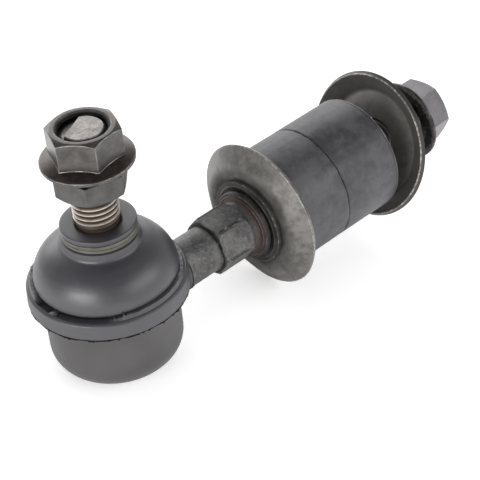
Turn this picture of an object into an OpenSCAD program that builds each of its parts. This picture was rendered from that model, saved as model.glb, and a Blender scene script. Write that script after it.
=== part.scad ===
// Stabilizer link: a ball joint at one end, a rod with two rubber bushes at the other.
// Origin at the ball's centre, +Z up along the ball stud, +X along the rod to its end nut.

/* [Ball joint] */
// Diameter of the ball
ball_d = 18; // [15:0.5:21]
// Play between the ball and its seat
ball_play = 0.05; // [0.02:0.01:0.1]
// Wall of the plastic seat beside the ball
seat_wall = 2.5; // [1.5:0.1:4]
// Floor of the seat under the ball
seat_floor = 1.2; // [0.8:0.1:3]
// Play between the seat and the housing
seat_play = 0.05; // [0.02:0.01:0.1]
// Height of the seat's rim above the ball's centre
seat_rise = 6.4; // [5:0.1:7.5]
// How far the stud tilts to each side, in degrees
stud_swing = 25; // [12:1:26]
// Room left round the stud at full tilt
mouth_gap = 0.5; // [0.3:0.1:1]

/* [Housing] */
// Wall of the housing
housing_wall = 3.1; // [2.2:0.1:5]
// Floor of the housing
housing_floor = 1.4; // [1:0.1:4]
// Rounding of the housing's lower edge
housing_round = 5.5; // [2:0.5:7]
// Thickness of the closing ring over the seat
closing_t = 1.5; // [1:0.1:2.5]
// Thickness of the rim that is rolled over the closing ring
rolled_rim_t = 1.5; // [1:0.1:2.5]
// Depth of the boot groove round the housing
boot_groove = 0.7; // [0.3:0.1:1.2]
// Height of the boot groove
boot_groove_h = 1.2; // [0.8:0.1:1.6]
// Length of the stub that carries the shank, from the ball's centre
stub_l = 18.6; // [17.5:0.1:24]

/* [Stud] */
// Diameter of the threads on the stud and the rod
thread_d = 10; // [9.4:0.1:12]
// Diameter of the plain shank between ball and thread
shank_d = 9.2; // [7:0.1:9.4]
// Height of the thread's start above the ball's centre
thread_start = 25.4; // [25.2:0.1:28]
// Length of the run-out below the thread
runout = 0.8; // [0.4:0.1:1]
// Height of the stud's tip above the ball's centre
stud_top = 47; // [46:0.1:52]
// Chamfer at the threads' ends
tip_chamfer = 0.8; // [0.4:0.1:1.2]
// Distance of the flat at the tip from the stud's axis
tip_flat = 2.3; // [1.5:0.1:3.5]
// Depth of that flat below the tip
tip_flat_h = 1.2; // [0.6:0.1:2]
// Turn of that flat about the stud, in degrees
tip_flat_turn = 117; // [0:1:360]

/* [Boot] */
// Wall of the boot's band round the housing
band_wall = 2.9; // [1.8:0.1:4]
// How far the band reaches below the housing's rim
band_drop = 3.4; // [3:0.1:3.8]
// How far the band stands above the housing's rim
band_rise = 0.5; // [0.3:0.1:1]
// Play between the boot and what it grips
boot_play = 0.05; // [0.02:0.01:0.1]
// Radius of the dome where it leaves the band
dome_r = 15.6; // [14.9:0.1:16.4]
// Width of the dome's rounding
dome_round = 10; // [9.6:0.1:10.2]
// Height of the dome's rounding
dome_rise = 8.6; // [8:0.1:9]
// Thickness of the dome
boot_t = 1.8; // [1.2:0.1:2.4]
// Height of the slot for the lower wire ring
wire_slot = 1; // [0.8:0.1:1.3]
// Depth of that slot
wire_slot_depth = 1.1; // [0.9:0.1:1.3]
// Diameter of the lower ring's wire
wire_d = 0.8; // [0.4:0.1:0.8]
// Outer diameter of the boot's neck
neck_d = 16.4; // [15:0.1:18]
// Height of the neck's shoulder above the ball's centre
neck_z = 21.1; // [20.9:0.1:21.6]
// Depth of the neck's groove
neck_groove = 1; // [0.6:0.1:1.4]
// Height of the neck's groove
neck_groove_h = 1.75; // [1.4:0.05:2]
// Thickness of the lip above the groove
lip_t = 1.3; // [0.8:0.1:1.6]

/* [Nuts] */
// Width of the nuts across flats
nut_af = 14; // [13.5:0.5:17]
// Height of a flange nut
flange_nut_h = 8.3; // [7:0.1:12]
// Diameter of a nut's flange
flange_d = 19.8; // [18:0.1:24]
// Thickness of the flange at its rim
flange_t = 0.8; // [0.5:0.1:1.5]
// Rise of the flange from its rim to the hexagon
flange_rise = 1.2; // [0.3:0.1:1.5]
// Height of the plain nut
plain_nut_h = 5.7; // [5:0.1:6.5]
// How far the flange nut's face lies below the stud's tip
nut_depth = 7.8; // [7:0.1:8.5]
// Gap between the plain nut and the flange nut
nut_gap = 1.2; // [0.5:0.1:2]
// Play of a nut on its thread
thread_play = 0.05; // [0.02:0.01:0.1]
// Chamfer angle of the hexagons, in degrees
nut_chamfer = 30; // [20:1:35]
// Turn of the flange nut about the stud, in degrees
flange_nut_turn = 8.4; // [0:0.1:60]
// Turn of the plain nut about the stud, in degrees
plain_nut_turn = 44; // [0:1:60]
// Turn of the end nut about the rod, in degrees
end_nut_turn = 28; // [0:1:60]

/* [Shank] */
// Length of the link, from the ball's centre to the seam between the bushes
link_l = 59.6; // [58:0.1:75]
// Diameter of the neck between housing and hexagon
bar_d = 11.1; // [9:0.1:11.6]
// Width of the weld's flash ridge
flash_w = 0.7; // [0.4:0.1:1.5]
// Height of the weld's flash ridge
flash_h = 0.2; // [0.1:0.05:0.4]
// Width of the hexagon across flats
hex_af = 12.5; // [11:0.1:14]
// Length of the hexagon
hex_l = 9.4; // [6:0.1:16]
// Turn of the hexagon's first corner from the top, in degrees
hex_turn = 24; // [0:1:60]
// Length of the round cone behind the hexagon
cone_l = 1.9; // [1:0.1:4]
// Diameter of the cone where it meets the collar
cone_d = 13; // [11.5:0.1:14.5]
// Diameter of the collar's small step
step_d = 16.4; // [15:0.1:18]
// Width of the collar's small step
step_w = 1.1; // [0.6:0.1:2]
// Width of the groove in the collar
collar_groove_w = 0.4; // [0.3:0.1:1]
// Diameter of that groove
collar_groove_d = 14.6; // [12:0.1:14.8]
// Diameter of the collar's flange
collar_d = 20.4; // [18:0.1:24]
// Thickness of the collar's flange
collar_t = 0.9; // [0.6:0.1:3]
// Diameter of the plain rod inside the bushes
rod_d = 10; // [9:0.1:10]
// Length of the thread at the rod's end
rod_thread_l = 34; // [28:1:40]

/* [Bushes] */
// Diameter of a rubber bush
bush_d = 28.4; // [25:0.1:30]
// Length of a rubber bush
bush_l = 16.6; // [12:0.1:18]
// Play between a bush and the rod
bush_play = 0.05; // [0.02:0.01:0.3]
// Chamfer at a bush's outer end
bush_chamfer = 0.5; // [0.3:0.1:1.2]
// Rounding of the edge where the bushes meet
seam_chamfer = 0.3; // [0.1:0.1:0.6]

/* [Washers] */
// Outer diameter of a dished washer
washer_d = 35.5; // [34:0.1:40]
// Thickness of its plate
washer_t = 1.2; // [1:0.1:2]
// Diameter of its hole
washer_hole_d = 12.2; // [12:0.1:13.4]
// Radius of its flat middle
washer_flat_r = 12.2; // [10.5:0.1:12.5]
// Slope of its rim, in degrees
washer_slope = 35; // [20:1:40]
// Inner radius of its bend
washer_bend = 2.5; // [2:0.1:5]
// Lean of the loose outer washer on the rod, in degrees
washer_lean = 15.9; // [5:0.1:16]
// Room between the loose washer's hole and the rod
washer_room = 0.12; // [0.1:0.01:0.3]
// Gap along the rod from the outer bush to the loose washer's middle
washer_gap = 7.2; // [7.1:0.1:9]
// Gap along the rod from the outer bush to the end nut's face
end_nut_gap = 17.5; // [17:0.1:22]

/* [Hidden] */
$fn = 96;
eps = 0.01;
arc_steps = 12;
ball_r = ball_d / 2;
shank_r = shank_d / 2;
thread_r = thread_d / 2;
rod_r = rod_d / 2;
nut_r = nut_af / sqrt(3);
seat_r = ball_r + ball_play + seat_wall;
seat_z = -(ball_r + ball_play + seat_floor);
cavity_r = seat_r + seat_play;
cavity_z = seat_z - seat_play;
housing_r = cavity_r + housing_wall;
housing_z = cavity_z - housing_floor;
closing_z = seat_rise;
rolled_z = closing_z + closing_t;
rim_z = rolled_z + rolled_rim_t;
band_z = rim_z - band_drop;
band_top = rim_z + band_rise;
band_r = housing_r + band_wall;
groove_z = band_z + (band_drop - boot_groove_h) / 2;
slot_top = band_top + wire_slot;
slot_r = dome_r - wire_slot_depth;
neck_r = neck_d / 2;
neck_groove_r = neck_r - neck_groove;
lip_z = neck_z + neck_groove_h;
flange_r = flange_d / 2;
flange_nut_z = stud_top - nut_depth;
plain_nut_z = flange_nut_z - nut_gap - plain_nut_h;
bush_end = link_l + bush_l;
bush_edge = bush_d / 2 - bush_chamfer;
bush_seat = max(dish(bush_edge), dish(bush_d / 2) - bush_chamfer);
washer_x = link_l - bush_l - bush_seat - bush_play - washer_t;
hex_end = washer_x - collar_t - collar_groove_w - step_w - cone_l;
bar_l = hex_end - hex_l - stub_l;
bar_end = stub_l + bar_l;
washer_mid_x = bush_end + washer_gap;
washer_drop = washer_hole_d / 2 * cos(washer_lean) - washer_t / 2 * sin(washer_lean);
washer_mid_z = thread_r + washer_room - washer_drop;
end_nut_x = bush_end + end_nut_gap;
rod_end = end_nut_x + flange_nut_h - tip_chamfer / 2;

// Radius that a mouth needs at height z so that the tilted stud passes
function mouth_r(z) = z * tan(stud_swing) + shank_r / cos(stud_swing) + mouth_gap;

// Depth of a washer's hollow side below its flat middle, at radius r
function dish(r) = r <= washer_flat_r ? 0
    : r <= washer_flat_r + washer_bend * sin(washer_slope)
    ? washer_bend - sqrt(pow(washer_bend, 2) - pow(r - washer_flat_r, 2))
    : washer_bend * (1 - cos(washer_slope))
        + (r - washer_flat_r - washer_bend * sin(washer_slope)) * tan(washer_slope);

// Points of an arc about [cx, cy] from angle a0 to a1, of an ellipse where a height is given
function arc(cx, cy, r, a0, a1, rise) =
    let (h = is_undef(rise) ? r : rise)
    [for (i = [0 : arc_steps]) let (a = a0 + (a1 - a0) * i / arc_steps) [cx + r * cos(a), cy + h * sin(a)]];

// Turns a shape that stands along Z so that it lies along the rod, starting at x
module along_rod(x) {
    translate([x, 0, 0]) rotate([0, 90, 0]) children();
}

// Hexagonal prism with both or one of its ends turned to a chamfer
module hex_blank(h, lower_chamfer) {
    drop = (nut_r - nut_af / 2 * 0.96) * tan(nut_chamfer);
    face_r = nut_af / 2 * 0.96;
    foot_r = lower_chamfer ? face_r : nut_r + eps;
    intersection() {
        cylinder(h = h, r = nut_r, $fn = 6);
        rotate_extrude()
            polygon([[0, 0], [foot_r, 0], [nut_r + eps, lower_chamfer ? drop : eps],
                [nut_r + eps, h - drop], [face_r, h], [0, h]]);
    }
}

// Threaded hole of a nut, countersunk at both ends
module nut_hole(h) {
    r = thread_r + thread_play;
    translate([0, 0, -eps]) cylinder(h = h + 2 * eps, r = r);
    translate([0, 0, -eps]) cylinder(h = tip_chamfer, r1 = r + tip_chamfer, r2 = r);
    translate([0, 0, h + eps - tip_chamfer]) cylinder(h = tip_chamfer, r1 = r, r2 = r + tip_chamfer);
}

// Nut with a shallow conical flange, standing on its flange
module flanged_nut() {
    difference() {
        union() {
            hex_blank(flange_nut_h, false);
            rotate_extrude()
                polygon([[0, 0], [flange_r - flange_t / 4, 0], [flange_r, flange_t / 4], [flange_r, flange_t],
                    [nut_af / 2, flange_t + flange_rise], [0, flange_t + flange_rise]]);
        }
        nut_hole(flange_nut_h);
    }
}

// Dished washer with its flat middle on z = 0 and its rim below, hollow side down
module dished_washer() {
    outer = washer_bend + washer_t;
    slope = [cos(washer_slope), -sin(washer_slope)];
    run = (washer_d / 2 - washer_flat_r - outer * sin(washer_slope)) / slope[0];
    inner_arc = arc(washer_flat_r, -washer_bend, washer_bend, 90, 90 - washer_slope);
    outer_arc = arc(washer_flat_r, -washer_bend, outer, 90 - washer_slope, 90);
    rotate_extrude()
        polygon(concat([[washer_hole_d / 2, 0]], inner_arc, [inner_arc[arc_steps] + run * slope],
            [outer_arc[0] + run * slope], outer_arc, [[washer_hole_d / 2, washer_t]]));
}

// Rubber bush along Z, with its seam face at z = 0
module rubber_bush() {
    r = bush_d / 2;
    hole_r = thread_r + bush_play;
    rotate_extrude()
        polygon([[hole_r, 0], [r - seam_chamfer, 0], [r, seam_chamfer], [r, bush_l - bush_chamfer],
            [r - bush_chamfer, bush_l], [hole_r, bush_l]]);
}

// Forged cup with a closed, rounded floor, a rolled rim and a stub for the shank
module socket_housing() {
    round_r = min(housing_round, housing_r - 1);
    mouth = mouth_r(rim_z);
    color("#5c5a59") difference() {
        union() {
            rotate_extrude()
                polygon(concat([[0, housing_z]],
                    arc(housing_r - round_r, housing_z + round_r, round_r, -90, 0),
                    [[housing_r, groove_z], [housing_r - boot_groove, groove_z],
                     [housing_r - boot_groove, groove_z + boot_groove_h], [housing_r, groove_z + boot_groove_h],
                     [housing_r, rim_z - 1], [housing_r - 1, rim_z], [0, rim_z]]));
            along_rod(0) cylinder(h = stub_l, r = bar_d / 2);
        }
        translate([0, 0, cavity_z]) cylinder(h = rolled_z - cavity_z, r = cavity_r);
        translate([0, 0, rolled_z - eps]) cylinder(h = rolled_rim_t + 2 * eps, r = mouth);
    }
}

// Shank from the weld to the rod's end: neck, hexagon, turned collar and threaded rod
module link_shank() {
    hex_r = hex_af / sqrt(3);
    worn_r = hex_r - 0.08;
    color("#4d4c4c") union() {
        along_rod(stub_l) cylinder(h = bar_l + eps, r = bar_d / 2);
        along_rod(stub_l) cylinder(h = flash_w, r = bar_d / 2 + flash_h);
        intersection() {
            along_rod(bar_end) rotate([0, 0, 180 - hex_turn]) cylinder(h = hex_l + eps, r = hex_r, $fn = 6);
            along_rod(bar_end)
                rotate_extrude()
                    polygon([[0, 0], [hex_af / 2, 0], [worn_r, 0.9], [worn_r, hex_l - 1.2],
                        [hex_af / 2, hex_l + eps], [0, hex_l + eps]]);
        }
        along_rod(hex_end)
            rotate_extrude()
                polygon([[0, 0], [hex_af / 2 - 0.3, 0], [cone_d / 2, cone_l], [step_d / 2 - 0.4, cone_l],
                    [step_d / 2, cone_l + 0.4], [step_d / 2, cone_l + step_w],
                    [collar_groove_d / 2, cone_l + step_w],
                    [collar_groove_d / 2, cone_l + step_w + collar_groove_w],
                    [collar_d / 2, cone_l + step_w + collar_groove_w],
                    [collar_d / 2, cone_l + step_w + collar_groove_w + collar_t],
                    [0, cone_l + step_w + collar_groove_w + collar_t]]);
        along_rod(washer_x - eps) cylinder(h = rod_end - rod_thread_l - washer_x + eps, r = rod_r);
        along_rod(rod_end - rod_thread_l)
            rotate_extrude()
                polygon([[0, 0], [rod_r, 0], [thread_r, runout], [thread_r, rod_thread_l - tip_chamfer],
                    [thread_r - tip_chamfer, rod_thread_l], [0, rod_thread_l]]);
    }
}

// Plastic seat that wraps the ball past its middle and opens to a mouth for the stud
module ball_seat() {
    color("#d9d4c4") difference() {
        translate([0, 0, seat_z]) cylinder(h = seat_rise - seat_z, r = seat_r);
        sphere(r = ball_r + ball_play);
        cylinder(h = seat_rise + eps, r1 = mouth_r(0), r2 = mouth_r(seat_rise + eps));
    }
}

// Steel ring between the seat and the rolled rim
module closing_ring() {
    color("#8a8b8c") translate([0, 0, closing_z]) difference() {
        cylinder(h = closing_t, r = seat_r);
        translate([0, 0, -eps]) cylinder(h = closing_t + 2 * eps, r = mouth_r(rolled_z));
    }
}

// Ball, plain shank, run-out and thread, with a flat cut into the tip
module ball_stud() {
    color("#b9b4ae") difference() {
        union() {
            sphere(r = ball_r);
            cylinder(h = thread_start, r = shank_r);
            translate([0, 0, thread_start - runout]) cylinder(h = runout, r1 = shank_r, r2 = thread_r);
            translate([0, 0, thread_start])
                rotate_extrude()
                    polygon([[0, 0], [thread_r, 0], [thread_r, stud_top - thread_start - tip_chamfer],
                        [thread_r - tip_chamfer, stud_top - thread_start], [0, stud_top - thread_start]]);
        }
        rotate([0, 0, tip_flat_turn])
            translate([tip_flat, -thread_d, stud_top - tip_flat_h])
                cube([thread_d, 2 * thread_d, tip_flat_h + eps]);
    }
}

// Rubber boot: band round the housing, slot for the wire ring, dome, neck groove and lip
module dust_boot() {
    grip_r = housing_r + boot_play;
    bead_r = housing_r - boot_groove + boot_play;
    dome_c = dome_r - dome_round;
    inner_round = dome_round - boot_t;
    inner_rise = dome_rise - boot_t;
    hole_r = shank_r + boot_play;
    shoulder_a = acos((neck_r + 0.9 - dome_c) / dome_round);
    inner_a = acos((hole_r - dome_c + 0.6) / inner_round);
    rest_r = dome_r - boot_t - 1.2;
    ceiling = slot_top + inner_rise * sin(inner_a);
    color("#4a4b50") rotate_extrude()
        polygon(concat(
            [[grip_r, band_z], [band_r - 0.3, band_z], [band_r, band_z + 0.3],
             [band_r - 0.2, band_top - 0.4], [band_r - 0.6, band_top], [slot_r, band_top], [slot_r, slot_top]],
            arc(dome_c, slot_top, dome_round, 0, shoulder_a, dome_rise),
            [[neck_r + 0.35, neck_z - 1], [neck_r + 0.25, neck_z - 0.1], [neck_r, neck_z],
             [neck_groove_r, neck_z], [neck_groove_r, lip_z], [neck_r - 0.2, lip_z],
             [neck_r, lip_z + 0.2], [neck_r, lip_z + lip_t - 0.3], [neck_r - 0.3, lip_z + lip_t],
             [hole_r, lip_z + lip_t], [hole_r, ceiling]],
            arc(dome_c, slot_top, inner_round, inner_a, 0, inner_rise),
            [[rest_r, slot_top - 0.4], [rest_r, rim_z], [grip_r - 1, rim_z], [grip_r, rim_z - 1],
             [grip_r, groove_z + boot_groove_h - boot_play], [bead_r, groove_z + boot_groove_h - boot_play],
             [bead_r, groove_z + boot_play], [grip_r, groove_z + boot_play]]));
}

// Wire ring that clamps the boot's lower end
module boot_wire_ring() {
    color("#3a3b3e")
        rotate_extrude()
            translate([slot_r + boot_play + wire_d / 2, band_top + wire_slot / 2]) circle(d = wire_d, $fn = 32);
}

// Flat ring round the boot's neck
module boot_neck_ring() {
    color("#6f6f60") translate([0, 0, neck_z + boot_play])
        difference() {
            cylinder(h = neck_groove_h - 2 * boot_play, r = neck_r - 0.05);
            translate([0, 0, -eps]) cylinder(h = neck_groove_h, r = neck_groove_r + boot_play);
        }
}

// Plain hexagon nut below the flange nut
module plain_nut() {
    color("#6f6f70") translate([0, 0, plain_nut_z]) rotate([0, 0, plain_nut_turn])
        difference() {
            hex_blank(plain_nut_h, true);
            nut_hole(plain_nut_h);
        }
}

// Flange nut at the stud's tip
module flange_nut() {
    color("#5f5c5a") translate([0, 0, flange_nut_z]) rotate([0, 0, flange_nut_turn]) flanged_nut();
}

// Washer against the collar, hollow towards the bushes
module inner_washer() {
    color("#6b6964") translate([washer_x + washer_t, 0, 0]) rotate([0, -90, 0]) dished_washer();
}

// Bush between the inner washer and the seam
module inner_bush() {
    color("#55565a") translate([link_l, 0, 0]) rotate([0, -90, 0]) rubber_bush();
}

// Bush beyond the seam
module outer_bush() {
    color("#5a5b5f") along_rod(link_l) rubber_bush();
}

// Loose washer that hangs on the rod and leans, hollow towards the bushes
module outer_washer() {
    color("#55554f") translate([washer_mid_x, 0, washer_mid_z])
        rotate([0, 90 + washer_lean, 0]) translate([0, 0, -washer_t / 2]) dished_washer();
}

// Flange nut at the rod's end
module end_nut() {
    color("#7f7c7d") along_rod(end_nut_x) rotate([0, 0, end_nut_turn]) flanged_nut();
}

socket_housing();
link_shank();
ball_seat();
closing_ring();
ball_stud();
dust_boot();
boot_wire_ring();
boot_neck_ring();
plain_nut();
flange_nut();
inner_washer();
inner_bush();
outer_bush();
outer_washer();
end_nut();
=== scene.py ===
import bpy, bmesh
from math import sin, cos, pi, radians, degrees, atan2
from mathutils import Matrix, Vector, noise

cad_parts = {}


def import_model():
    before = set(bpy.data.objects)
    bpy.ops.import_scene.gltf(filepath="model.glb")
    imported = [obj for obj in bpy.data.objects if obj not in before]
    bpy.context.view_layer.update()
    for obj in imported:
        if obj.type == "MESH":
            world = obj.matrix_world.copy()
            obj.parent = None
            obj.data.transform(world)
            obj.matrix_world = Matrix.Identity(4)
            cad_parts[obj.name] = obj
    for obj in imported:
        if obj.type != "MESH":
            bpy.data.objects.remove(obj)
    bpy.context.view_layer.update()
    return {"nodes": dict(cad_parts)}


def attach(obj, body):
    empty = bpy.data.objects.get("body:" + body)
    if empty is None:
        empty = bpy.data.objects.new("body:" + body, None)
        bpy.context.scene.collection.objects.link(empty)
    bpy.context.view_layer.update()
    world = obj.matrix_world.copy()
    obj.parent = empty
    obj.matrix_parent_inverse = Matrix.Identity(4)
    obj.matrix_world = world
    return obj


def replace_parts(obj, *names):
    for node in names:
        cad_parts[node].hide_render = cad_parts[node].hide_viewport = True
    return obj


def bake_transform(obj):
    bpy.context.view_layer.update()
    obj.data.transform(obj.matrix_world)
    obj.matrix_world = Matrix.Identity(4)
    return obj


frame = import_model()
mm = 0.001
nodes = frame["nodes"]
scene = bpy.context.scene
scene.view_settings.view_transform = 'Standard'
rodWay, studWay = (1, 0, 0), (0, 0, 1)  # both lines meet at the ball's centre, the origin
print("frame loaded,", len(nodes), "nodes")


# shader tools
class Wire:  # a socket that can be used in Python maths
    def __init__(self, finish, socket):
        self.finish, self.socket = finish, socket

    def calc(self, operation, a, b):
        return self.finish.add('ShaderNodeMath', {'operation': operation}, [a, b])

    def __add__(self, b): return self.calc('ADD', self, b)
    def __radd__(self, b): return self.calc('ADD', b, self)
    def __sub__(self, b): return self.calc('SUBTRACT', self, b)
    def __rsub__(self, b): return self.calc('SUBTRACT', b, self)
    def __mul__(self, b): return self.calc('MULTIPLY', self, b)
    def __rmul__(self, b): return self.calc('MULTIPLY', b, self)
    def __pow__(self, b): return self.calc('POWER', self, b)
    def atLeast(self, b): return self.calc('MAXIMUM', self, b)

    def step(self, low, high):  # 0 below low, 1 above high, smooth between
        return self.finish.add('ShaderNodeMapRange', {'interpolation_type': 'SMOOTHSTEP'},
                               {'Value': self, 'From Min': low, 'From Max': high})

    def band(self, start, full, fade, end):  # 1 from full to fade, 0 before start and after end
        return self.step(start, full) * (1 - self.step(fade, end))


class Finish:  # a material, or the world, with the nodes it needs
    def __init__(self, name, home=None, shader='Principled BSDF', coords='Object'):
        self.home = home or bpy.data.materials.new(name)
        self.home.use_nodes = True
        self.tree = self.home.node_tree
        self.shader = self.tree.nodes[shader]
        self.where = self.add('ShaderNodeTexCoord', out=coords)

    def add(self, kind, settings=None, sockets=None, out=0):  # every node comes from here
        node = self.tree.nodes.new(kind)
        for key, value in (settings or {}).items():
            if key == 'stops':  # places along a ramp and their colours
                for at, color in value[2:]:
                    node.color_ramp.elements.new(at)
                for element, (at, color) in zip(node.color_ramp.elements, value):
                    element.position, element.color = at, (*color, 1)
            else:
                setattr(node, key, value)
        pairs = sockets.items() if isinstance(sockets, dict) else enumerate(sockets or [])
        for key, value in pairs:
            self.feed(node.inputs[key], value)
        return Wire(self, node.outputs[out])

    def feed(self, socket, value):
        if isinstance(value, Wire):
            self.tree.links.new(value.socket, socket)
        elif socket.type == 'RGBA' and len(value) == 3:
            socket.default_value = (*value, 1)
        else:
            socket.default_value = value

    def vector(self, operation, *sockets, out=0):
        return self.add('ShaderNodeVectorMath', {'operation': operation}, sockets, out)

    def grain(self, scale, detail=4, rough=0.6, stretch=None):
        place = self.vector('MULTIPLY', self.where, stretch) if stretch else self.where
        return self.add('ShaderNodeTexNoise', None,
                        {'Vector': place, 'Scale': scale, 'Detail': detail, 'Roughness': rough})

    def grains(self, look):  # the noises that a piece's dictionary lists, in its order
        return [self.grain(*noises) for noises in look['grain'].values()]

    def cells(self, scale):
        return self.add('ShaderNodeTexVoronoi', None, {'Vector': self.where, 'Scale': scale})

    def along(self, axis):  # the place along one axis, in millimetres
        return self.add('ShaderNodeSeparateXYZ', None, [self.where], out=axis) * 1000

    def fromLine(self, way, point=(0, 0, 0)):  # the distance from a line, in millimetres
        gap = self.vector('SUBTRACT', self.where, inMetres(point))
        along = self.vector('DOT_PRODUCT', gap, way, out='Value')
        far = self.vector('LENGTH', gap, out='Value')
        return (far * far - along * along).atLeast(0) ** 0.5 * 1000

    def blend(self, mask, low, high):
        return self.add('ShaderNodeMix', {'data_type': 'RGBA'}, {0: mask, 6: low, 7: high}, out=2)

    def layers(self, mask, low, high, *over):  # two colours mixed by a mask, then others laid over them
        color = self.blend(mask, tone(low), tone(high))
        for mask, code in over:
            color = self.blend(mask, color, tone(code))
        return color

    def rounded(self, radius):  # a normal that softens the corners
        return self.add('ShaderNodeBevel', {'samples': 6}, {'Radius': radius})

    def facing(self, way):  # how far the bare surface looks that way
        normal = self.add('ShaderNodeNewGeometry', out='True Normal')
        return self.vector('DOT_PRODUCT', normal, way, out='Value')

    def edges(self, radius, low=0.02, high=0.22):  # 1 on worn corners
        return (1 - self.facing(self.rounded(radius))).step(low, high)

    def bump(self, height, strength, distance, normal=None):
        sockets = {'Height': height, 'Strength': strength, 'Distance': distance}
        if normal:
            sockets['Normal'] = normal
        return self.add('ShaderNodeBump', None, sockets)

    def set(self, **sockets):
        names = {'color': 'Base Color', 'rough': 'Roughness', 'metal': 'Metallic', 'normal': 'Normal',
                 'spec': 'Specular IOR Level', 'glow': 'Emission Color', 'glowPower': 'Emission Strength'}
        for key, value in sockets.items():
            self.feed(self.shader.inputs[names[key]], value)
        return self.home

    def show(self, factor, first, second):  # mixes two shaders at the output
        mix = self.add('ShaderNodeMixShader', None, [factor, first, second])
        self.feed(self.tree.get_output_node('ALL').inputs['Surface'], mix)


def tone(code):  # a colour as read off the screen, in linear light
    parts = [int(code[i:i + 2], 16) / 255 for i in (0, 2, 4)]
    return tuple(c / 12.92 if c <= 0.04045 else ((c + 0.055) / 1.055) ** 2.4 for c in parts)


# mesh tools
def inMetres(point):
    return tuple(c * mm for c in point)


def trim(bm, keeps):  # cuts at each plane, drops what lies on its normal's side and closes the cut
    for point, normal in keeps:
        geom = bm.verts[:] + bm.edges[:] + bm.faces[:]
        bmesh.ops.bisect_plane(bm, geom=geom, plane_co=Vector(point) * mm, plane_no=Vector(normal),
                               clear_outer=True)
        bmesh.ops.holes_fill(bm, edges=[e for e in bm.edges if e.is_boundary], sides=0)


def newPiece(name, verts, faces, mat, body, sharp=35, keeps=()):
    weld = 1e-7  # metres
    mesh = bpy.data.meshes.new(name)
    mesh.from_pydata(verts, [], faces)
    mesh.validate()
    bm = bmesh.new()
    bm.from_mesh(mesh)
    bmesh.ops.remove_doubles(bm, verts=bm.verts, dist=weld)
    trim(bm, keeps)
    bmesh.ops.dissolve_degenerate(bm, edges=bm.edges, dist=weld)
    bmesh.ops.recalc_face_normals(bm, faces=bm.faces)
    bm.to_mesh(mesh)
    bm.free()
    mesh.polygons.foreach_set('use_smooth', [True] * len(mesh.polygons))
    mesh.set_sharp_from_angle(angle=radians(sharp))
    mesh.materials.append(mat)
    obj = bpy.data.objects.new(name, mesh)
    scene.collection.objects.link(obj)
    if body:
        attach(obj, body)
    return obj


def cutCopy(node, name, keeps, mat, body):  # copy of a node's solid, cut at the planes that keeps lists
    mesh = nodes[node].data
    verts, faces = [tuple(v.co) for v in mesh.vertices], [tuple(p.vertices) for p in mesh.polygons]
    return newPiece(name, verts, faces, mat, body, 20, keeps)


def paint(node, mat):
    mesh = nodes[node].data
    mesh.materials.clear()
    mesh.materials.append(mat)


def clamped(value):
    return min(max(value, 0), 1)


def filleted(points, sizes, steps=5):  # rounds the corners of a closed outline that sizes names
    out, n, most = [], len(points), 0.45  # most of an edge that a fillet may take
    for i, p in enumerate(points):
        if not sizes.get(i):
            out.append(tuple(p))
            continue
        here = Vector(p)
        a, b = Vector(points[i - 1]) - here, Vector(points[(i + 1) % n]) - here
        cut = min(sizes[i], a.length * most, b.length * most)
        a, b = here + a.normalized() * cut, here + b.normalized() * cut
        for t in (k / steps for k in range(steps + 1)):
            q = a * (1 - t) ** 2 + here * 2 * t * (1 - t) + b * t ** 2
            out.append((q.x, q.y))
    return out


def arcPoints(cr, cz, r, rise, a0, a1, steps):
    angles = [radians(a0 + (a1 - a0) * i / steps) for i in range(steps + 1)]
    return [(cr + r * cos(a), cz + rise * sin(a)) for a in angles]


def rowFaces(rows, n, closed=True):  # quads between rows of n points, each row a closed loop
    faces = []
    for i in range(rows if closed else rows - 1):
        a, b = i * n, (i + 1) % rows * n
        faces += [(a + k, b + k, b + (k + 1) % n, a + (k + 1) % n) for k in range(n)]
    return faces


def onStud(r, a, z):
    return r * cos(a), r * sin(a), z


def onRod(r, a, x):
    return x, r * cos(a), r * sin(a)


def lathe(outline, steps, shape=None, place=onStud):  # shape may shift a point at its angle
    verts = []
    for a in (2 * pi * i / steps for i in range(steps)):
        for r, z in outline:
            if shape:
                r, z = shape(r, z, a)
            verts.append(inMetres(place(r, a, z)))
    return verts, rowFaces(steps, len(outline))


def ragged(a, scale, low, high, seed):  # stepped noise round a ring, 0 to 1
    v = 0.5 + 0.5 * noise.noise((cos(a) * scale + seed, sin(a) * scale, seed * 1.7))
    return clamped((v - low) / (high - low))


def beyond(way, at):  # cutting plane that drops what lies farther along a line
    return [c * at for c in way], way


def before(way, at):  # cutting plane that drops what comes first along a line
    return [c * at for c in way], [-c for c in way]


# housing: forged cup under a grey phosphate coat
housing = {'dark': '454343', 'light': '545252', 'worn': 'a3a09c', 'rough': 0.46,
           'grain': {'cloud': (55, 3, 0.5), 'fine': (900, 3, 0.7), 'chips': (400, 3)}}  # scale, detail, roughness


def housingFinish():
    f = Finish('housingSteel')
    cloud, fine, chips = f.grains(housing)
    worn = f.edges(0.5 * mm) * chips.step(0.45, 0.7)
    color = f.layers(cloud.step(0.3, 0.7), housing['dark'], housing['light'], (worn * 0.5, housing['worn']))
    return f.set(color=color, rough=housing['rough'] + 0.12 * fine - 0.06,
                 normal=f.bump(fine, 0.25, 0.05 * mm, f.rounded(0.4 * mm)))


paint('socket_housing', housingFinish())
print("housing painted")

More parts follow.
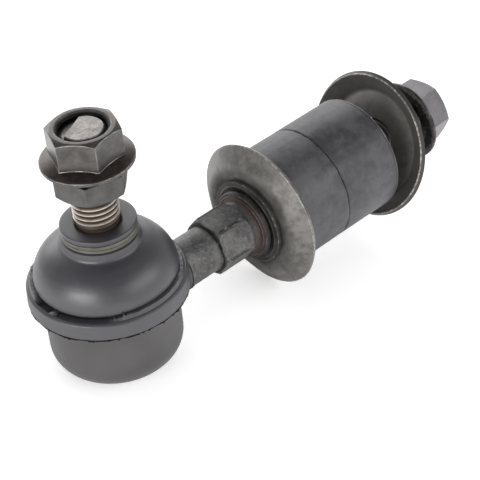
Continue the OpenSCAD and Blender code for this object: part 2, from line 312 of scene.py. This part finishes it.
# shank: neck, hexagon and collar in black forging scale, rust brown where it was turned, with painted shade at
# the neck-hex shoulder, along the hexagon's corners and on the collar's face
shank = {'hexFrom': 27.55, 'turnedFrom': 36.95, 'collarFrom': 39.95,  # along the rod, mm
         'hexCorner': (6.86, 7.04), 'collarR': (9.8, 10.1),
         'scale': '4b4a4b', 'grey': '706f6e', 'pale': '8a8785', 'brown': '6b5047', 'sootAndShade': '1c1a19',
         'bare': 'aba6a0',
         'grain': {'cloud': (160, 5, 0.65), 'pits': (1100, 5, 0.8), 'turning': (1.0, 3, 0.7, (3200, 60, 60)),
                   'chips': (1, 4, 0.7, (330, 700, 700)), 'nicks': (700, 3)}}
rodThread = {'from': 67.1, 'to': 100.8, 'pitch': 1.25, 'root': 4.6, 'crest': 4.99, 'taper': 0.0,
             'pale': '7f7c78', 'deep': '4a4846'}


def shankFinish():
    f = Finish('shankScale')
    x, r = f.along('X'), f.fromLine(rodWay)
    hexFrom, turnedFrom, collarFrom, sootAndShade = (shank[k] for k in ('hexFrom', 'turnedFrom', 'collarFrom', 'sootAndShade'))
    cloud, pits, turned, chip, nick = f.grains(shank)
    brown = x.band(turnedFrom - 0.2, turnedFrom + 1.5, collarFrom - 0.7, collarFrom)
    # collar: the collar's face, painted near-black as shade
    collar = x.step(collarFrom - 0.1, collarFrom + 0.05) * (1 - r.step(*shank['collarR']))
    # shoulder: painted shade where the neck meets the hexagon
    shoulder = x.band(hexFrom - 0.3, hexFrom - 0.05, hexFrom + 0.1, hexFrom + 0.45)
    # corner: painted shade along the hexagon's corners, broken by bare specks of wear
    corner = x.band(hexFrom, hexFrom + 0.4, turnedFrom - 1.6, turnedFrom - 0.4) * r.step(*shank['hexCorner'])
    nicks = f.edges(0.4 * mm, 0.01, 0.1) * nick.step(0.5, 0.62)
    specks = (corner * chip.step(0.56, 0.66)).atLeast(nicks)
    color = f.layers(cloud.step(0.33, 0.66), shank['scale'], shank['grey'],
                     (pits.step(0.52, 0.66) * 0.7, shank['pale']),
                     ((1 - pits.step(0.34, 0.46)) * 0.6, sootAndShade),
                     (brown * (0.15 + 0.4 * turned.step(0.4, 0.6)), shank['brown']),
                     (shoulder * cloud.step(0.3, 0.5) * 0.85, sootAndShade),
                     (collar * 0.9, sootAndShade),
                     # from the turned cone on, the colour is darkened by half
                     (x.step(turnedFrom - 1.0, turnedFrom + 0.4) * 0.5, sootAndShade),
                     (corner * (1 - chip.step(0.5, 0.58)) * 0.85, sootAndShade),
                     (specks * 0.8, shank['bare']))
    height = cloud * 0.5 + pits * 0.5 + turned * brown * 0.6
    return f.set(color=color, rough=0.40 + 0.22 * pits, metal=0.3 + 0.3 * specks,
                 normal=f.bump(height, 0.6, 0.14 * mm, f.rounded(0.35 * mm)))


barEnd = [beyond(rodWay, rodThread['from'])]
shankBar = cutCopy('link_shank', 'shankBar', barEnd, shankFinish(), 'link')
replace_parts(shankBar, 'link_shank')
print("shank cut and painted")

# turned rings on the collar, seen between the hexagon and the inner washer
rings = {'step': [(6.3, 38.95), (6.45, 38.6), (7.1, 38.7), (7.26, 38.52), (7.44, 38.68), (7.62, 39.0),
                  (7.84, 38.98), (8.0, 38.84), (8.2, 39.05), (8.24, 39.9), (6.3, 39.9)],  # radius, x
         'flange': [(8.3, 40.6), (8.35, 40.3), (8.8, 40.3), (9.0, 40.12), (9.2, 40.3), (9.75, 40.3),
                    (9.9, 40.36), (9.9, 40.6)],
         'rustR': (6.9, 7.5), 'dark': '1f1c1b', 'light': '3a3533', 'crest': '8f8984',
         'grain': {'cloud': (300, 4, 0.6), 'fine': (1500, 4, 0.7)}}


def ringFinish():
    f = Finish('turnedRings')
    cloud, fine = f.grains(rings)
    rust = 1 - f.fromLine(rodWay).step(*rings['rustR'])
    crest = f.edges(0.22 * mm, 0.02, 0.2) * (0.35 + 0.65 * cloud.step(0.35, 0.6))
    # the rings' near-black tones are their dark rusty grey, painted darker still as shade in the grooves between
    # hexagon and washer
    color = f.layers(cloud.step(0.35, 0.65), rings['dark'], rings['light'],
                     (rust * (0.4 + 0.5 * fine), shank['brown']), (crest * 0.7, rings['crest']))
    return f.set(color=color, rough=0.36 + 0.2 * fine, metal=0.4, normal=f.bump(fine, 0.3, 0.05 * mm))


ringMat = ringFinish()
for name in ('step', 'flange'):
    verts, faces = lathe(rings[name], 144, None, onRod)
    newPiece(name + 'Rings', verts, faces, ringMat, 'link', 50)
print("collar rings turned")

# threads: narrow pale crests over brown roots; the crests are painted pale as a painted highlight
thread = {'profile': [(0.0, 0), (0.12, 0), (0.42, 1), (0.58, 1), (0.88, 0)],  # shares of the pitch and the depth
          'runOut': 0.4, 'taperOver': 1.1, 'wear': 0.03, 'wearRound': 9, 'wearAlong': 3.1, 'steps': 56,
          'stain': '4a3f37', 'shade': '544a42', 'grain': {'patch': (500, 4, 0.65), 'fine': (2200, 3, 0.7)}}


def screwThread(t, place):
    verts, steps, wearRound = [], thread['steps'], thread['wearRound']
    turns = int((t['to'] - t['from']) / t['pitch']) + 3
    for i in range(steps + 1):
        a = 2 * pi * i / steps
        for k in range(-2, turns):
            for s, depth in thread['profile']:
                z = t['from'] + t['pitch'] * (k + s + i / steps)
                keep = clamped((t['to'] - z) / thread['runOut'])
                top = t['crest'] - t['taper'] * clamped(1 - (z - t['from']) / thread['taperOver'])
                r = top - (top - t['root']) * (1 - depth) * keep
                worn = noise.noise((cos(a) * wearRound, sin(a) * wearRound, z * thread['wearAlong']))
                r -= thread['wear'] * abs(worn) * depth
                verts.append(inMetres(place(r, a, z)))
    n = len(verts) // (steps + 1)
    starts = [i * n + k for i in range(steps) for k in range(n - 1)]
    return verts, [(v, v + n, v + n + 1, v + 1) for v in starts]


def threadFinish(name, t, way):
    f = Finish(name)
    patch, fine = f.grains(thread)
    over = [(patch.step(0.5, 0.75) * 0.5, thread['stain'])]
    if 'darkBelow' in t:
        over.append(((1 - f.along('Z').step(t['darkBelow'], t['darkBelow'] + 0.8)) * 0.5, thread['shade']))
    # crests painted pale by their distance from the axis: a painted highlight over the brown roots
    color = f.layers(f.fromLine(way).step(t['crest'] - 0.42, t['crest'] - 0.06), t['deep'], t['pale'], *over)
    return f.set(color=color, rough=0.30 + 0.25 * patch, metal=0.7, normal=f.bump(fine, 0.3, 0.05 * mm))


def threadPiece(name, t, way, place, mat, body):
    verts, faces = screwThread(t, place)
    newPiece(name, verts, faces, mat, body, keeps=[before(way, t['from']), beyond(way, t['to'])])


rodMat = threadFinish('rodThread', rodThread, rodWay)
threadPiece('rodThread', rodThread, rodWay, onRod, rodMat, 'link')
cutCopy('link_shank', 'rodTip', [before(rodWay, rodThread['to'])], rodMat, 'link')
print("rod thread cut")

# stud: ball and plain shank from the solid, a real thread, and a bright tip with its flat
studThread = {'from': 24.7, 'to': 45.4, 'pitch': 1.25, 'root': 4.27, 'crest': 4.99, 'taper': 0.42,
              'pale': 'c9c1ba', 'deep': '66594f', 'darkBelow': 25.0}
studTip = {'dark': '6f6965', 'light': 'a39f9b', 'stain': '5f5650', 'edge': '2a2726', 'chamferShadeR': (4.2, 4.5),
           'dots': 700, 'grain': {'speck': (1300, 5, 0.75), 'cloud': (420, 4, 0.6)}}


def tipFinish():
    f = Finish('studTip')
    speck, cloud = f.grains(studTip)
    dots = f.cells(studTip['dots']).step(0.1, 0.35)
    # the chamfer round the tip is painted near-black, a painted shade between stud and nut
    color = f.layers((0.5 * speck + 0.5 * cloud).step(0.36, 0.6), studTip['dark'], studTip['light'],
                     ((1 - dots) * speck.step(0.45, 0.6) * 0.5, studTip['stain']),
                     (f.fromLine(studWay).step(*studTip['chamferShadeR']), studTip['edge']))
    return f.set(color=color, rough=0.3 + 0.2 * speck, metal=0.55, normal=f.bump(speck, 0.25, 0.06 * mm))


studMat = threadFinish('studThread', studThread, studWay)
ballEnd = [beyond(studWay, studThread['from'])]
studBall = cutCopy('ball_stud', 'studBall', ballEnd, studMat, 'stud')
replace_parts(studBall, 'ball_stud')
threadPiece('studThread', studThread, studWay, onStud, studMat, 'stud')
cutCopy('ball_stud', 'studTip', [before(studWay, studThread['to'])], tipFinish(), 'stud')
print("stud threaded")

# pieces inside the joint
inside = {'seat': ('d2ccba', 'e0dbcd'), 'closing': ('7b7c7d', '979899'), 'wire': ('2b2c2e', '424347'),
          'worn': 'c9c7c4', 'seatGrain': (120, 3), 'grain': {'cloud': (300, 4), 'fine': (1800, 3)}}


def seatFinish():
    f = Finish('seatPlastic')
    cloud = f.grain(*inside['seatGrain'])
    return f.set(color=f.layers(cloud, *inside['seat']), rough=0.4 + 0.1 * cloud)


def plainSteel(name, dark, light, rough=0.35):
    f = Finish(name)
    cloud, fine = f.grains(inside)
    color = f.layers(cloud.step(0.35, 0.65), dark, light, (f.edges(0.25 * mm) * 0.4, inside['worn']))
    return f.set(color=color, rough=rough + 0.15 * fine, metal=0.7, normal=f.bump(fine, 0.2, 0.04 * mm))


paint('ball_seat', seatFinish())
paint('closing_ring', plainSteel('closingSteel', *inside['closing']))
paint('boot_wire_ring', plainSteel('wireSteel', *inside['wire'], 0.4))
print("inner pieces painted")

# boot: band with moulding flash, dome, neck and lip
boot = {'band': [(14.75, 6.05), (16.9, 6.05), (17.2, 5.98), (17.45, 5.98), (17.6, 6.3), (17.42, 9.4),
                 (16.9, 9.85), (16.3, 9.9), (15.75, 9.95), (15.35, 9.9), (14.5, 9.9), (12.6, 9.9),
                 (12.6, 9.4), (13.75, 9.4), (14.75, 8.4)],  # radius, height
        'bandFillets': {4: 0.3, 5: 0.2, 6: 0.2}, 'bandTop': 9.9, 'flashR': (14.9, 16.4), 'flashTall': 0.92,
        'flash': [(0, 1.0), (130, 1.0), (150, 0.9), (163, 0.75), (168, -0.2), (183, -0.1), (187, 0.7),
                  (190, -0.1), (205, 0.0), (230, 0.0), (236, 0.4), (243, 0.7), (246, 0.95), (250, 0.85),
                  (262, 1.02), (360, 1.0)],  # angle, share of the slot that is closed
        'tornEdge': [(16.8, 6.15), (17.45, 6.15), (17.5, 5.97), (17.0, 5.97)], 'tornBelow': 6,
        'slotTop': 10.9, 'domeR': 15.6, 'round': 10.0, 'rise': 8.6, 'wall': 1.8,
        'crease': [(8.62, 19.2), (8.5, 20.6)], 'shoulder': [(8.5, 20.6), (8.44, 20.95), (8.3, 21.06)],
        'neckR': 8.2, 'neckZ': 21.1, 'grooveR': 7.2, 'lipZ': 22.85, 'lipTop': 24.15, 'hole': 4.65,
        'neckInside': [(4.65, 21.3), (6.4, 20.5), (6.9, 19.1)],
        'foot': [(12.6, 10.5), (12.6, 9.9), (14.5, 9.9), (14.5, 10.85), (15.3, 10.9)],
        'dark': '2d2c32', 'light': '39383e', 'dust': '8c8d90', 'slot': '131315', 'lip': '161617',
        'flashShadeDark': '0c0c0d', 'flashShadeLight': '1d1d1f', 'lipFrom': (23.8, 24.0), 'lipR': (5.2, 7.4),
        'slots': [((9.0, 9.3, 10.8, 11.0), (15.0, 15.4)),  # heights and radii of the slot, painted dark as the shade inside it
                  ((8.8, 9.0, 9.7, 9.85), (16.3, 16.6))],
        'grain': {'cloud': (45, 4, 0.55), 'fine': (1500, 4, 0.7), 'dust': (260, 5, 0.7), 'torn': (330, 3, 0.6),
                  'streak': (1, 4, 0.65, (110, 110, 1500))}, 'tornGrain': (400, 3, 0.6)}


def bootFinish():
    f = Finish('bootRubber')
    z, r = f.along('Z'), f.fromLine(studWay)
    cloud, fine, dust, torn, streak = f.grains(boot)
    dust = dust.step(0.6, 0.8)
    # the lip's top round the stud is painted near-black, a painted shade cast by the nut and stud
    lip = z.step(*boot['lipFrom']) * (1 - (r + 1.6 * cloud - 0.8).step(*boot['lipR']))
    # upper and lower: the slot's crevices, painted near-black as the shade in them
    upper, lower = (z.band(*heights) * (1 - r.step(*radii)) for heights, radii in boot['slots'])
    color = f.layers(cloud.step(0.3, 0.7), boot['dark'], boot['light'],
                     (dust * 0.12, boot['dust']),
                     (upper.atLeast(lower) * torn.step(0.2, 0.5) * 0.85, boot['slot']),
                     (lip * 0.75, boot['lip']))
    return f.set(color=color, rough=0.24 + 0.1 * cloud + 0.08 * dust + 0.24 * streak, spec=0.9,
                 normal=f.bump(fine * 0.4 + streak * 0.9, 0.3, 0.1 * mm))


# the flash is painted near-black with little sheen: painted shade in the gap between band and housing
def shadedFlashFinish():
    f = Finish('shadedFlashRubber')
    torn = f.grain(*boot['tornGrain'])
    color = f.layers(torn, boot['flashShadeDark'], boot['flashShadeLight'])
    return f.set(color=color, rough=0.8 + 0.1 * torn, spec=0.15)


def bandShape(r, z, a):
    low, high = boot['flashR']
    if z > boot['bandTop'] - 0.2 and low < r < high:  # flash that partly closes the slot
        turn = a * 180 / pi
        for (a0, h0), (a1, h1) in zip(boot['flash'], boot['flash'][1:]):
            if a0 <= turn <= a1:  # an angle on a listed one counts twice, which leaves a small tooth
                share = h0 + (h1 - h0) * (turn - a0) / (a1 - a0)
                z += boot['flashTall'] * share - 0.06 * ragged(a, 25, 0.3, 0.7, 2.0)
        r += 0.12 * ragged(a, 14, 0.3, 0.7, 9.0)
    return r, z


def tornShape(r, z, a):  # flash hanging from the band's lower edge
    if z < boot['tornBelow']:
        z -= 0.06 + 0.24 * ragged(a, 5, 0.36, 0.6, 3.0) + 0.3 * ragged(a, 31, 0.64, 0.72, 8.0)
        r += 0.08 * ragged(a, 17, 0.4, 0.6, 5.0)
    return r, z


def domeOutline():
    middle, slotTop, lipZ, lipTop = boot['domeR'] - boot['round'], boot['slotTop'], boot['lipZ'], boot['lipTop']
    outer = arcPoints(middle, slotTop, boot['round'], boot['rise'], 0, 64, 40)
    crease = filleted([outer[-1], *boot['crease']], {1: 1.5}, 9)[1:-1]
    groove = [(boot['grooveR'], boot['neckZ']), (boot['grooveR'], lipZ)]
    neckR, hole = boot['neckR'], boot['hole']
    lip = filleted([(neckR - 0.1, lipZ), (neckR, lipTop), (hole + 0.55, lipTop), (hole, lipTop - 0.5)],
                   {0: 0.25, 1: 0.35, 2: 0.3})
    inner = arcPoints(middle, slotTop, boot['round'] - boot['wall'], boot['rise'] - boot['wall'], 77, 0, 24)
    return outer + crease + boot['shoulder'] + groove + lip + boot['neckInside'] + inner + boot['foot']


def bootPieces(mat):
    verts, faces = lathe(filleted(boot['band'], boot['bandFillets'], 4), 360, bandShape)
    bandObj = newPiece('bootBand', verts, faces, mat, 'link', 40)
    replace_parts(bandObj, 'dust_boot')
    verts, faces = lathe(boot['tornEdge'], 480, tornShape)
    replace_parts(newPiece('bootFlash', verts, faces, shadedFlashFinish(), 'link', 40), 'dust_boot')
    verts, faces = lathe(domeOutline(), 192)
    dome = newPiece('bootDome', verts, faces, mat, None, 40)
    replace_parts(dome, 'dust_boot')
    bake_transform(dome)


bootPieces(bootFinish())
print("boot made")

# neck ring: two turns of flat wire
ring = {'inner': 7.27, 'outer': 8.14, 'low': 21.16, 'high': 22.79, 'gap': 0.06, 'endAt': 62, 'steps': 288,
        'fillets': {0: 0.12, 1: 0.2, 2: 0.2, 3: 0.12}, 'turns': 1.99, 'crossAt': 0.96, 'crossLong': 0.07,
        'dark': '55544d', 'light': '727167', 'streak': (1, 4, 0.6, (300, 300, 2600))}


def neckRing():
    f = Finish('ringWire')
    streak = f.grain(*ring['streak'])
    color = f.layers(streak.step(0.35, 0.65), ring['dark'], ring['light'])
    mat = f.set(color=color, rough=0.42 + 0.15 * streak, metal=0.35, normal=f.bump(streak, 0.2, 0.05 * mm))
    tall, steps = (ring['high'] - ring['low'] - ring['gap']) / 2, ring['steps']
    section = [(ring['inner'], 0), (ring['outer'], 0), (ring['outer'], tall), (ring['inner'], tall)]
    section = filleted(section, ring['fillets'], 3)
    verts, n = [], len(section)
    for turn in (i / steps * ring['turns'] for i in range(steps + 1)):
        rise = clamped((turn - ring['crossAt']) / ring['crossLong'])  # the wire crosses to its second turn
        low = ring['low'] + rise * rise * (3 - 2 * rise) * (tall + ring['gap'])
        a = radians(ring['endAt']) + 2 * pi * turn
        verts += [inMetres(onStud(r, a, low + z)) for r, z in section]
    faces = rowFaces(steps + 1, n, closed=False) + [tuple(range(n)), tuple(range(steps * n, steps * n + n))]
    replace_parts(newPiece('neckRing', verts, faces, mat, 'neck', 40), 'boot_neck_ring')


neckRing()
print("neck ring wound")

# nuts: plated grey with bright worn corners; bands along each nut's axis are painted light and shade: painted
# shade on the plain nut's top under the flange nut, on the end nut's bearing face and, reddish, on the flange
# nut's flange below its hexagon, and a painted highlight on the flange nut's top
nuts = {'flange_nut': {'finish': 'flangeNutSteel', 'axis': 'Z', 'edge': 0.9, 'rough': 0.24, 'metal': 0.85,
                       'dark': '454241', 'light': '62605e', 'brown': '4e423d',
                       'paintedLightAndShade': [(40.0, 41.6, '3d3431'), (47.1, 60, '625f5d')]},
        'plain_nut': {'finish': 'plainNutSteel', 'axis': 'Z', 'edge': 0.15, 'rough': 0.29, 'metal': 0.75,
                      'dark': '454444', 'light': '5c5a59', 'brown': '4a433f', 'paintedLightAndShade': [(37.2, 39.5, '0f0e0e')]},
        'end_nut': {'finish': 'endNutSteel', 'axis': 'X', 'edge': 0.8, 'rough': 0.29, 'metal': 0.75,
                    'dark': '5b595b', 'light': '747174', 'brown': '5e5a58', 'paintedLightAndShade': [(92.0, 94.5, '161413')]}}
nutLook = {'worn': 'c8c3bd', 'boreShade': '121111', 'boreShadeR': (5.3, 5.6),
           'grain': {'cloud': (190, 6, 0.7), 'fine': (1600, 3, 0.7), 'speck': (850, 5, 0.75),
                     'shift': (260, 3, 0.6), 'patch': (90, 3), 'chips': (420, 4, 0.7)}}


def nutFinish(nut):
    f = Finish(nut['finish'])
    cloud, fine, speck, shift, patch, chips = f.grains(nutLook)
    speck = speck.step(0.4, 0.58)
    place = f.along(nut['axis']) + 0.5 * shift - 0.25
    over = [(patch.step(0.5, 0.72) * 0.4, nut['brown'])]
    for low, high, code in nut['paintedLightAndShade']:
        # stain: a band painted over the nut, laying painted shade, and on the flange nut's top a painted
        # highlight
        stain = place.band(low, low + 0.25, high - 0.5, high)
        over.append((stain * (0.3 + 0.35 * cloud.step(0.3, 0.6) + 0.35 * speck), code))
    worn = f.edges(0.4 * mm, 0.02, 0.16) * (0.25 + 0.75 * chips.step(0.42, 0.62))
    # the bore is painted near-black as the shade inside it
    boreShade = 1 - f.fromLine(studWay if nut['axis'] == 'Z' else rodWay).step(*nutLook['boreShadeR'])
    over += [(worn * nut['edge'], nutLook['worn']), (boreShade * 0.95, nutLook['boreShade'])]
    return f.set(color=f.layers(cloud.step(0.3, 0.7), nut['dark'], nut['light'], *over), metal=nut['metal'],
                 rough=nut['rough'] + 0.14 * cloud + 0.06 * fine,
                 normal=f.bump(fine, 0.22, 0.05 * mm, f.rounded(0.28 * mm)))


for node, nut in nuts.items():
    paint(node, nutFinish(nut))

# serrations under the end nut's flange, painted near-black as the shade the washer casts on them, with bare steel
# at the flange's edge
teeth = {'inner': 7.2, 'outer': 9.75, 'face': 93.7, 'tall': 0.26, 'count': 40, 'width': 0.75, 'root': 0.1,
         'dark': '0d0c0c', 'light': '2b2827', 'bare': '6f6c6b', 'bareR': (8.7, 9.1),
         'grain': {'cloud': (500, 4, 0.65), 'shift': (260, 4, 0.7)}}


def shadedTeethFinish():
    f = Finish('teethShade')
    cloud, shift = f.grains(teeth)
    rim = (f.fromLine(rodWay) + 3 * shift - 1.5).step(*teeth['bareR'])
    color = f.layers(cloud.step(0.35, 0.7), teeth['dark'], teeth['light'], (rim * 0.85, teeth['bare']))
    return f.set(color=color, rough=0.6 + 0.2 * cloud, spec=0.25)


def nutTeeth():
    inner, outer, face, back = teeth['inner'], teeth['outer'], teeth['face'], teeth['face'] + teeth['root']
    verts, rows = [], teeth['count'] * 2
    for i in range(rows):
        a = 2 * pi * i / rows
        b = a + (pi / teeth['count']) * teeth['width'] * (i % 2)
        lift = teeth['tall'] * (i % 2) * (0.3 + 0.7 * ragged(a, 5, 0.35, 0.65, 4.0))
        for r, x in ((inner, face - 0.4 * lift), (outer, face - lift), (outer, back), (inner, back)):
            verts.append(inMetres(onRod(r, b, x)))
    newPiece('endNutTeeth', verts, rowFaces(rows, 4), shadedTeethFinish(), 'end_nut', 20)


nutTeeth()
print("nuts painted")

# dished washers: warm grey phosphate, bright at the sheared rim, with painted light and shade on the dished faces
# and round the collar
# the two washers are painted as lit and shaded copies: the inner washer's dished ring lighter, a painted
# reflection; the outer washer's disc lighter and its dished ring darker, painted shade inside its cup
washers = {'inner': {'dark': '504e4a', 'light': '726f6b', 'deep': '423f3c', 'slope': '868380',
                     'way': (1, 0, 0), 'middle': (0, 0, 0), 'bend': (10.5, 15), 'line': (17.55, 17.8),
                     'halo': (10.3, 11.7), 'smudgeAndShade': 0.8},
           'outer': {'dark': '74716e', 'light': '8c8985', 'deep': '64615e', 'slope': '403d3a',
                     'way': (0.96174, 0, -0.27396), 'middle': (83.4, 0, -0.582), 'bend': (12.4, 13.4),
                     'line': (16.92, 17.25), 'halo': (6, 6.6), 'smudgeAndShade': 0.0}}
washerLook = {'smudgeAndShade': '242120', 'sheared': '33312f', 'rim': 'd6d3cc',
              'grain': {'cloud': (110, 6, 0.65), 'mottle': (420, 5, 0.7), 'fine': (1700, 3, 0.7),
                        'chips': (1100, 4, 0.7)}}


def washerFinish(which):
    w, f = washers[which], Finish(which + 'WasherSteel')
    cloud, mottle, fine, chips = f.grains(washerLook)
    r, facing, (low, high) = f.fromLine(w['way'], w['middle']), f.facing(w['way']), w['line']
    # halo: a dark ring round the collar, painted shade of the collar together with soot
    halo = 1 - (r + 5 * cloud - 2.5).step(*w['halo'])
    sheared = r.step(high - 0.05, high + 0.1) * facing.step(-0.72, -0.66)
    rim = r.band(low - 0.07, low + 0.07, high - 0.07, high + 0.07) * (1 - facing.step(-0.4, -0.3))
    rim = rim * (0.12 + 0.6 * chips.step(0.44, 0.64))
    color = f.layers(cloud.step(0.3, 0.7), w['dark'], w['light'],
                     # slope: the dished ring's colour, a painted reflection on the inner washer and painted shade
                     # on the outer one
                     (r.step(*w['bend']) * 0.75, w['slope']),
                     ((0.45 * mottle + 0.55 * cloud).step(0.45, 0.6) * 0.6, w['deep']),
                     (halo * w['smudgeAndShade'], washerLook['smudgeAndShade']),
                     (sheared * 0.7, washerLook['sheared']),
                     (rim * 0.95, washerLook['rim']))
    return f.set(color=color, rough=0.38 + 0.12 * mottle, metal=0.35,
                 normal=f.bump(fine * 0.5 + mottle * 0.5, 0.2, 0.06 * mm, f.rounded(0.3 * mm)))


paint('inner_washer', washerFinish('inner'))
paint('outer_washer', washerFinish('outer'))
print("washers painted")

# bushes: two moulded rubber rings, slightly uneven where they meet
bush = {'r': 14.2, 'hole': 5.08, 'seam': 59.6, 'long': 16.6, 'corner': 0.2,
        'fillets': {1: 0.15, 2: 0.15, 3: 0.12, 4: 0.12},
        'dark': '2b2a2e', 'light': '4f4e53', 'shade': '161617', 'pale': 'a5a5a7',
        'grain': {'cloud': (60, 5, 0.6), 'mottle': (330, 5, 0.7), 'fine': (1900, 4, 0.7), 'chips': (520, 4, 0.7)}}


def bushFinish():
    f = Finish('bushRubber')
    cloud, mottle, fine, chips = f.grains(bush)
    out = f.along('X') - bush['seam']
    out = (out * out) ** 0.5 + 0.1 * mottle - 0.05
    end = bush['long'] - bush['corner']
    # a dark ring just inside each bush's end is painted shade, and the pale line on the end's corner a painted
    # highlight broken by noise
    corner = out.step(end - 0.2, end - 0.05) * f.fromLine(rodWay).step(bush['r'] - 0.7, bush['r'] - 0.45)
    pale = corner * (0.25 + 0.75 * chips.step(0.42, 0.6))
    color = f.layers((0.55 * cloud + 0.45 * mottle).step(0.4, 0.6), bush['dark'], bush['light'],
                     (out.band(end - 0.7, end - 0.5, end - 0.3, end - 0.15) * 0.8, bush['shade']),
                     (pale * 0.75, bush['pale']))
    return f.set(color=color, rough=0.44 + 0.16 * mottle, spec=0.7,
                 normal=f.bump(fine * 0.4 + mottle * 0.6, 0.3, 0.1 * mm))


def bushPieces(mat):
    r, hole, long, corner = bush['r'], bush['hole'], bush['long'], bush['corner']
    outline = filleted([(hole, 0.02), (r - 0.25, 0.02), (r - 0.02, 0.3), (r, long - corner), (r - corner, long),
                        (hole, long)], bush['fillets'], 4)
    for name, node, way, seed in (('innerBush', 'inner_bush', -1, 2.0), ('outerBush', 'outer_bush', 1, 6.0)):
        def uneven(r, z, a):
            if z < 0.6 and r > 13:  # only round the seam
                r -= 0.14 * ragged(a, 7, 0.35, 0.7, seed)
                z += 0.10 * ragged(a, 12, 0.4, 0.7, seed + 3)
            return r, z
        verts, faces = lathe(outline, 192, uneven, lambda r, a, z: onRod(r, a, bush['seam'] + way * z))
        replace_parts(newPiece(name, verts, faces, mat, 'link', 40), node)


bushPieces(bushFinish())
print("bushes made")


# stage: the link lies on its housing and the inner washer, with the rod's end in the air
def restLine(overX):  # the line in side view that the part rests on
    points = sorted({(round(v.co.x, 5), round(v.co.z, 5)) for o in nodes.values() for v in o.data.vertices})
    hull = []
    for p in points:
        while len(hull) > 1 and ((hull[-1][0] - hull[-2][0]) * (p[1] - hull[-2][1])
                                 - (hull[-1][1] - hull[-2][1]) * (p[0] - hull[-2][0])) <= 0:
            hull.pop()
        hull.append(p)
    for a, b in zip(hull, hull[1:]):
        if a[0] <= overX <= b[0]:
            return a, b


ground = {'half': 0.6, 'overX': 0.03, 'paint': (0.86, 0.86, 0.86), 'seen': (0.5, 0.5, 0.5),
          'mirrored': (0.9, 0.9, 0.9), 'dimAt': (0.045, 0.02, 0), 'dimScale': (600, 1000, 1000),
          'dimOver': (15, 60)}  # painted shadow: the floor's glow that metal mirrors is dimmed under the part


def makeFloor():
    a, b = restLine(ground['overX'])
    lean, h = atan2(b[1] - a[1], b[0] - a[0]), ground['half']
    mesh = bpy.data.meshes.new('floor')
    mesh.from_pydata([(-h, -h, 0), (h, -h, 0), (h, h, 0), (-h, h, 0)], [], [(0, 1, 2, 3)])
    obj = bpy.data.objects.new('floor', mesh)
    obj.matrix_world = Matrix.Translation((a[0], 0, a[1])) @ Matrix.Rotation(-lean, 4, 'Y')
    scene.collection.objects.link(obj)
    f = Finish('paleFloor')
    seen = f.add('ShaderNodeLightPath', out='Is Camera Ray')
    mirrored = f.add('ShaderNodeLightPath', out='Is Glossy Ray')
    # painted shadow in reflections: the mirrored glow fades out near the part
    outsidePaintedShadow = f.vector('MULTIPLY', f.vector('SUBTRACT', f.where, ground['dimAt']), ground['dimScale'])
    outsidePaintedShadow = f.vector('LENGTH', outsidePaintedShadow, out='Value').step(*ground['dimOver'])
    glow = f.blend(seen, f.blend(mirrored * outsidePaintedShadow, (0, 0, 0), ground['mirrored']), ground['seen'])
    f.set(color=ground['paint'], rough=0.9, glow=glow, glowPower=1)
    under = f.add('ShaderNodeNewGeometry', out='Backfacing')  # clear from below, so that nothing is hidden
    f.show(under, Wire(f, f.shader.outputs[0]), f.add('ShaderNodeBsdfTransparent'))
    mesh.materials.append(f.home)
    print("floor leans", round(degrees(lean), 2), "degrees")


tent = [(0.0, 0.6), (0.45, 0.8), (0.5, 0.9), (0.6, 0.8), (0.74, 0.36), (1.0, 0.25)]  # height, light


def makeWorld():  # bright all round the horizon, dimmer overhead, white where the camera sees it
    scene.world = bpy.data.worlds.new('tent')
    f = Finish('tent', scene.world, 'Background', 'Generated')
    up = f.add('ShaderNodeSeparateXYZ', None, [f.where], out='Z')
    height = f.add('ShaderNodeMapRange', None, {'Value': up, 'From Min': -1})
    light = f.add('ShaderNodeValToRGB', {'stops': [(at, (v, v, v)) for at, v in tent]}, [height])
    f.feed(f.shader.inputs['Color'], (1, 1, 1))
    glow = f.add('ShaderNodeBackground', None, {'Color': light})
    f.show(f.add('ShaderNodeLightPath', out='Is Camera Ray'), glow, Wire(f, f.shader.outputs[0]))


lamps = {'topSoft': {'size': (0.9, 0.9), 'power': 0.7, 'place': (0.05, 0.15, 0.9), 'aim': (0.04, 0, 0),
                     'shine': False},
         'leftSoft': {'size': (0.7, 0.5), 'power': 6.0, 'place': (-0.92, -0.19, 0.35), 'aim': (0, 0, 0)},
         'frontSoft': {'size': (1.0, 0.45), 'power': 3.6, 'place': (0.37, -0.8, 0.47), 'aim': (0.04, 0, 0)},
         'backSoft': {'size': (1.1, 0.5), 'power': 5.0, 'place': (0.43, 0.82, 0.38), 'aim': (0.04, 0, 0)}}


def makeLight(name, size, power, place, aim, shine=True):
    lamp = bpy.data.lights.new(name, 'AREA')
    lamp.shape, lamp.size, lamp.size_y, lamp.energy = 'RECTANGLE', size[0], size[1], power
    obj = bpy.data.objects.new(name, lamp)
    obj.location = place
    obj.rotation_euler = (Vector(aim) - Vector(place)).to_track_quat('-Z', 'Y').to_euler()
    obj.visible_glossy = shine
    scene.collection.objects.link(obj)


camera = {'eye': (-156.752, -231.902, 227.227), 'right': (0.72109, -0.68779, -0.08355), 'lens': 124.6,
          'down': (-0.46806, -0.39467, -0.79067), 'ahead': (0.51084, 0.60925, -0.60652)}


def makeCamera():
    cam = bpy.data.cameras.new('camera')
    cam.lens, cam.sensor_width, cam.sensor_fit = camera['lens'], 36, 'HORIZONTAL'
    cam.clip_start, cam.clip_end = 0.01, 50
    obj = bpy.data.objects.new('camera', cam)
    axes = Matrix((camera['right'], [-c for c in camera['down']], [-c for c in camera['ahead']]))
    obj.matrix_world = Matrix.Translation(Vector(camera['eye']) * mm) @ axes.transposed().to_4x4()
    scene.collection.objects.link(obj)
    scene.camera = obj


makeFloor()
makeWorld()
for name, lamp in lamps.items():
    makeLight(name, **lamp)
makeCamera()
print("stage lit")
